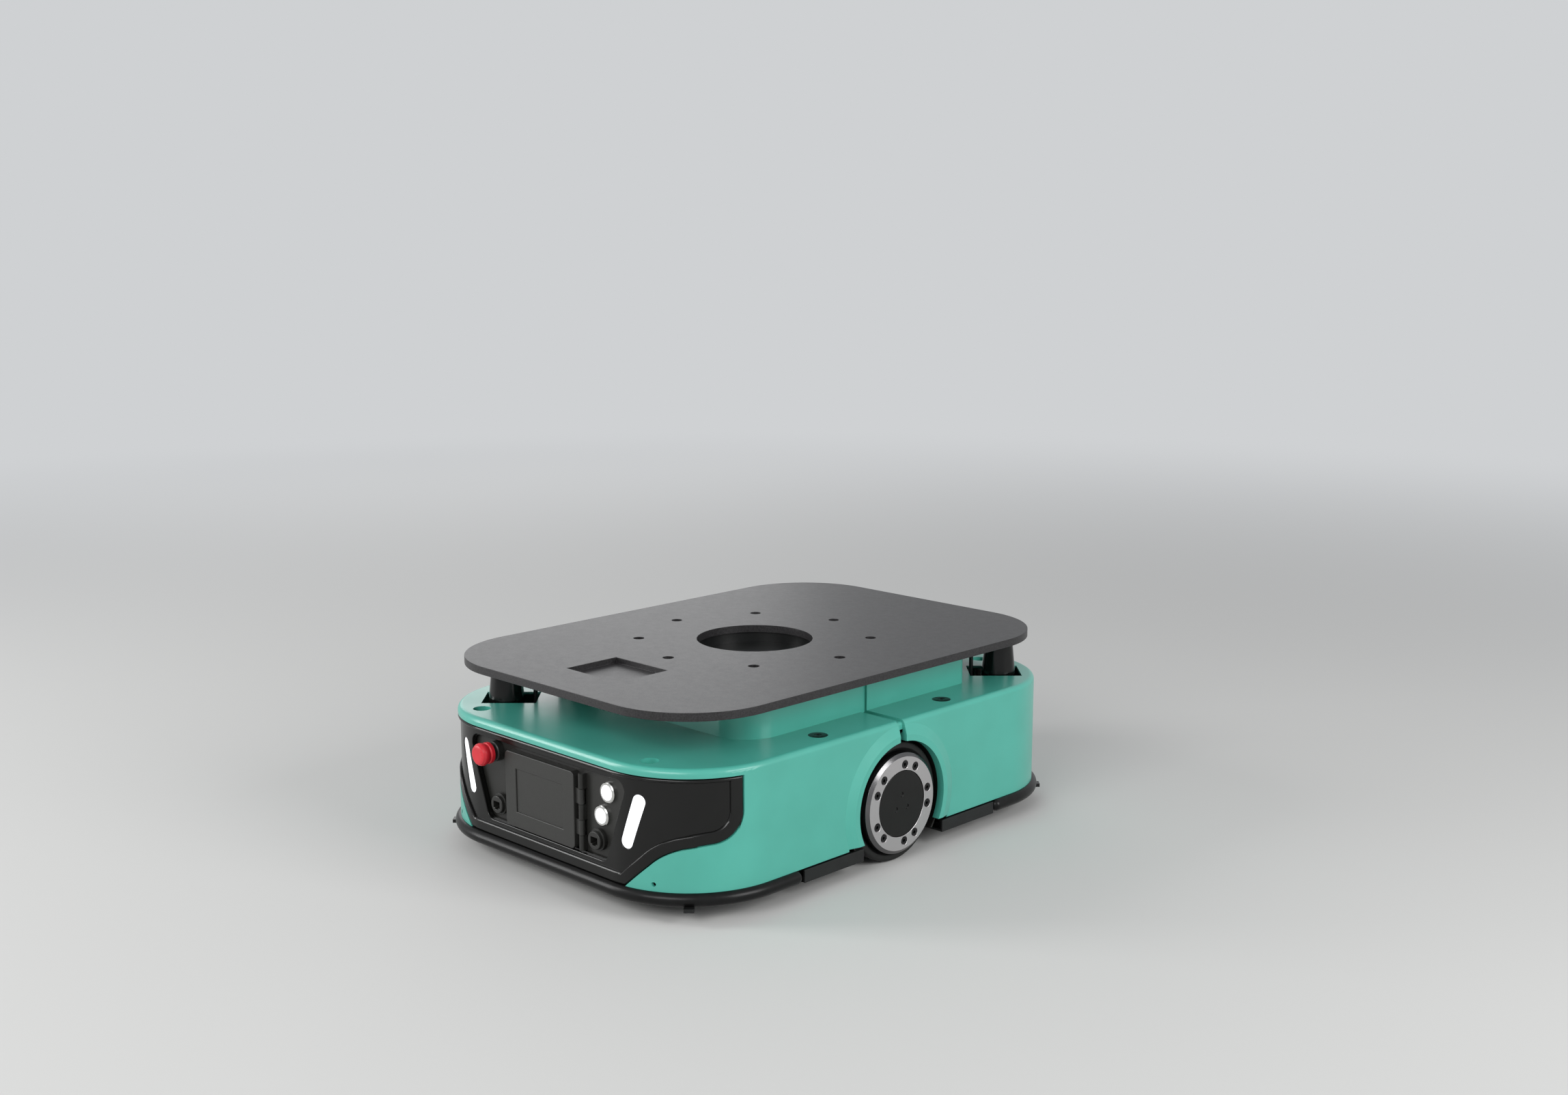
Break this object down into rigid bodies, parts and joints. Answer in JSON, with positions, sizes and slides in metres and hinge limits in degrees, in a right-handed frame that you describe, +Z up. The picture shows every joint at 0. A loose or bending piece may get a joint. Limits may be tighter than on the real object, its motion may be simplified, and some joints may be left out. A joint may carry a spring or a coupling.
{
  "type": "autonomous mobile robot",
  "caption": "Low mobile robot base with rounded covers, a flat mounting plate, corner laser scanners, side drive wheels, a front control panel and rubber bumper tubes.",
  "frame": {"origin": "on the floor, under the centre of the mounting plate's bore, midway between the drive wheels", "axes": "+Z up; -Y is the direction of travel and the control panel's side; +X to the robot's left hand when it looks along -Y"},
  "size_m": [0.514, 0.728, 0.24],
  "materials": {
    "plate_grey": "matte",
    "black_metal": "satin",
    "gloss_black": "gloss",
    "steel": "satin",
    "teal_cover": "satin",
    "fascia_black": "gloss",
    "panel_black": "matte",
    "door_black": "satin",
    "signal_red": "satin",
    "switch_metal": "polished",
    "white_lens": "gloss",
    "black_rubber": "matte",
    "tyre": "matte",
    "rim_alloy": "satin",
    "dark_screw": "satin",
    "caster_tread": "matte",
    "battery_case": "matte",
    "heat_sink": "satin"
  },
  "bodies": {
    "chassis": {"top_plate": "plate_grey", "plate_collar": "black_metal", "plate_supports": "black_metal", "scanner_bases": "steel", "scanner_pads": "black_rubber", "front_scanner_head": "gloss_black", "rear_scanner_head": "gloss_black", "cover_screws": "dark_screw", "front_cover": "teal_cover", "rear_cover": "teal_cover", "finishing_washers": "dark_screw", "front_fascia": "fascia_black", "instrument_panel": "panel_black", "door_hinge": "panel_black", "charge_socket": "panel_black", "estop_base": "panel_black", "base_plate": "black_metal", "caster_shelves": "black_metal", "top_deck": "black_metal", "cover_standoffs": "steel", "front_bumper": "black_rubber", "rear_bumper": "black_rubber", "bumper_clips": "black_metal", "wheel_wells": "panel_black", "caster_plates": "steel", "battery": "battery_case", "motor_controller": "heat_sink", "start_button_bezel": "switch_metal", "reset_button_bezel": "switch_metal", "left_network_socket": "panel_black", "left_lamp_lens": "white_lens", "left_frame_wall": "black_metal", "left_skirts": "black_metal", "left_hub_motor": "black_metal", "right_network_socket": "panel_black", "right_lamp_lens": "white_lens", "right_frame_wall": "black_metal", "right_skirts": "black_metal", "right_hub_motor": "black_metal"},
    "left_drive_wheel": {"left_tyre": "tyre", "left_wheel_rim": "rim_alloy", "left_hub_disc": "gloss_black", "left_ring_screws": "dark_screw"},
    "right_drive_wheel": {"right_tyre": "tyre", "right_wheel_rim": "rim_alloy", "right_hub_disc": "gloss_black", "right_ring_screws": "dark_screw"},
    "front_left_caster_swivel": {"front_left_caster_fork": "steel"},
    "front_left_caster_roller": {"front_left_caster_wheel": "caster_tread"},
    "front_right_caster_swivel": {"front_right_caster_fork": "steel"},
    "front_right_caster_roller": {"front_right_caster_wheel": "caster_tread"},
    "rear_left_caster_swivel": {"rear_left_caster_fork": "steel"},
    "rear_left_caster_roller": {"rear_left_caster_wheel": "caster_tread"},
    "rear_right_caster_swivel": {"rear_right_caster_fork": "steel"},
    "rear_right_caster_roller": {"rear_right_caster_wheel": "caster_tread"},
    "door": {"charge_door": "door_black"},
    "estop_stem": {"estop_plunger": "steel"},
    "estop_knob": {"estop_head": "signal_red"},
    "start_button": {"start_button_cap": "white_lens"},
    "reset_button": {"reset_button_cap": "white_lens"}
  },
  "joints": [
    {"name": "left_drive_wheel_spin", "type": "hinge", "parent": "chassis", "child": "left_drive_wheel", "pos_m": [-0.23, 0, 0.075], "axis": [1, 0, 0], "continuous": true},
    {"name": "right_drive_wheel_spin", "type": "hinge", "parent": "chassis", "child": "right_drive_wheel", "pos_m": [0.23, 0, 0.075], "axis": [1, 0, 0], "continuous": true},
    {"name": "front_left_caster_turn", "type": "hinge", "parent": "chassis", "child": "front_left_caster_swivel", "pos_m": [-0.17, -0.25, 0.088], "axis": [0, 0, 1], "continuous": true},
    {"name": "front_left_caster_roll", "type": "hinge", "parent": "front_left_caster_swivel", "child": "front_left_caster_roller", "pos_m": [-0.17, -0.226, 0.0325], "axis": [1, 0, 0], "continuous": true},
    {"name": "front_right_caster_turn", "type": "hinge", "parent": "chassis", "child": "front_right_caster_swivel", "pos_m": [0.17, -0.25, 0.088], "axis": [0, 0, 1], "continuous": true},
    {"name": "front_right_caster_roll", "type": "hinge", "parent": "front_right_caster_swivel", "child": "front_right_caster_roller", "pos_m": [0.17, -0.226, 0.0325], "axis": [1, 0, 0], "continuous": true},
    {"name": "rear_left_caster_turn", "type": "hinge", "parent": "chassis", "child": "rear_left_caster_swivel", "pos_m": [-0.17, 0.25, 0.088], "axis": [0, 0, 1], "continuous": true},
    {"name": "rear_left_caster_roll", "type": "hinge", "parent": "rear_left_caster_swivel", "child": "rear_left_caster_roller", "pos_m": [-0.17, 0.274, 0.0325], "axis": [1, 0, 0], "continuous": true},
    {"name": "rear_right_caster_turn", "type": "hinge", "parent": "chassis", "child": "rear_right_caster_swivel", "pos_m": [0.17, 0.25, 0.088], "axis": [0, 0, 1], "continuous": true},
    {"name": "rear_right_caster_roll", "type": "hinge", "parent": "rear_right_caster_swivel", "child": "rear_right_caster_roller", "pos_m": [0.17, 0.274, 0.0325], "axis": [1, 0, 0], "continuous": true},
    {"name": "charge_door_swing", "type": "hinge", "parent": "chassis", "child": "door", "pos_m": [0.0655, -0.344, 0.103], "axis": [0, 0, 1], "range_deg": [0, 110]},
    {"name": "estop_push", "type": "slide", "parent": "chassis", "child": "estop_stem", "axis": [0, 1, 0], "range_m": [0, 0.004]},
    {"name": "estop_twist", "type": "hinge", "parent": "estop_stem", "child": "estop_knob", "pos_m": [-0.098, -0.36, 0.141], "axis": [0, 1, 0], "range_deg": [0, 45]},
    {"name": "start_button_press", "type": "slide", "parent": "chassis", "child": "start_button", "axis": [0, 1, 0], "range_m": [0, 0.0025], "stiffness_N_per_m": 400, "springref_m": -0.002},
    {"name": "reset_button_press", "type": "slide", "parent": "chassis", "child": "reset_button", "axis": [0, 1, 0], "range_m": [0, 0.0025], "stiffness_N_per_m": 400, "springref_m": -0.002}
  ]
}
